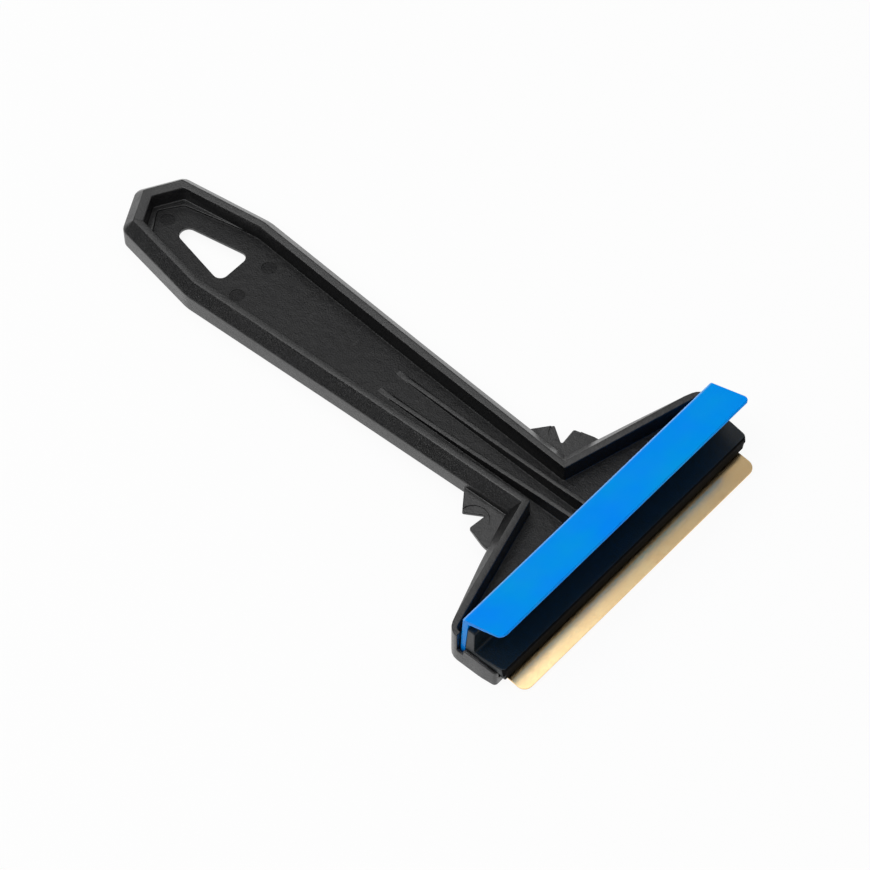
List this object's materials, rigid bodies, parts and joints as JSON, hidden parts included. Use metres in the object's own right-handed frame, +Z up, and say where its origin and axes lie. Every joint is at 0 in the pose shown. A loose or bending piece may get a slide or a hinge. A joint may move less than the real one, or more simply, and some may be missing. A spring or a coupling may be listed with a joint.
{
  "type": "ice scraper",
  "caption": "Hand ice scraper with a channelled handle, hang hole, swept wide head, clamped brass blade and a raised rubber squeegee strip.",
  "frame": {"origin": "middle of the bounding box's bottom face, on the surface that the scraper lies on", "axes": "+Y along the handle, from the blade to the hang hole; +Z up from the surface, with the handle's open channel upward; +X along the blade, to the right when looking along +Y"},
  "size_m": [0.1082, 0.1974, 0.0261],
  "materials": {
    "black_plastic": "satin moulded black plastic with a fine grain",
    "bar_plastic": "satin moulded black plastic",
    "brass": "rolled brass sheet, lightly brushed",
    "blue_rubber": "smooth glossy bright blue rubber"
  },
  "bodies": {
    "root": {"body": "black_plastic", "blade_clamp": "bar_plastic", "brass_blade": "brass", "squeegee_strip": "blue_rubber"}
  },
  "joints": []
}
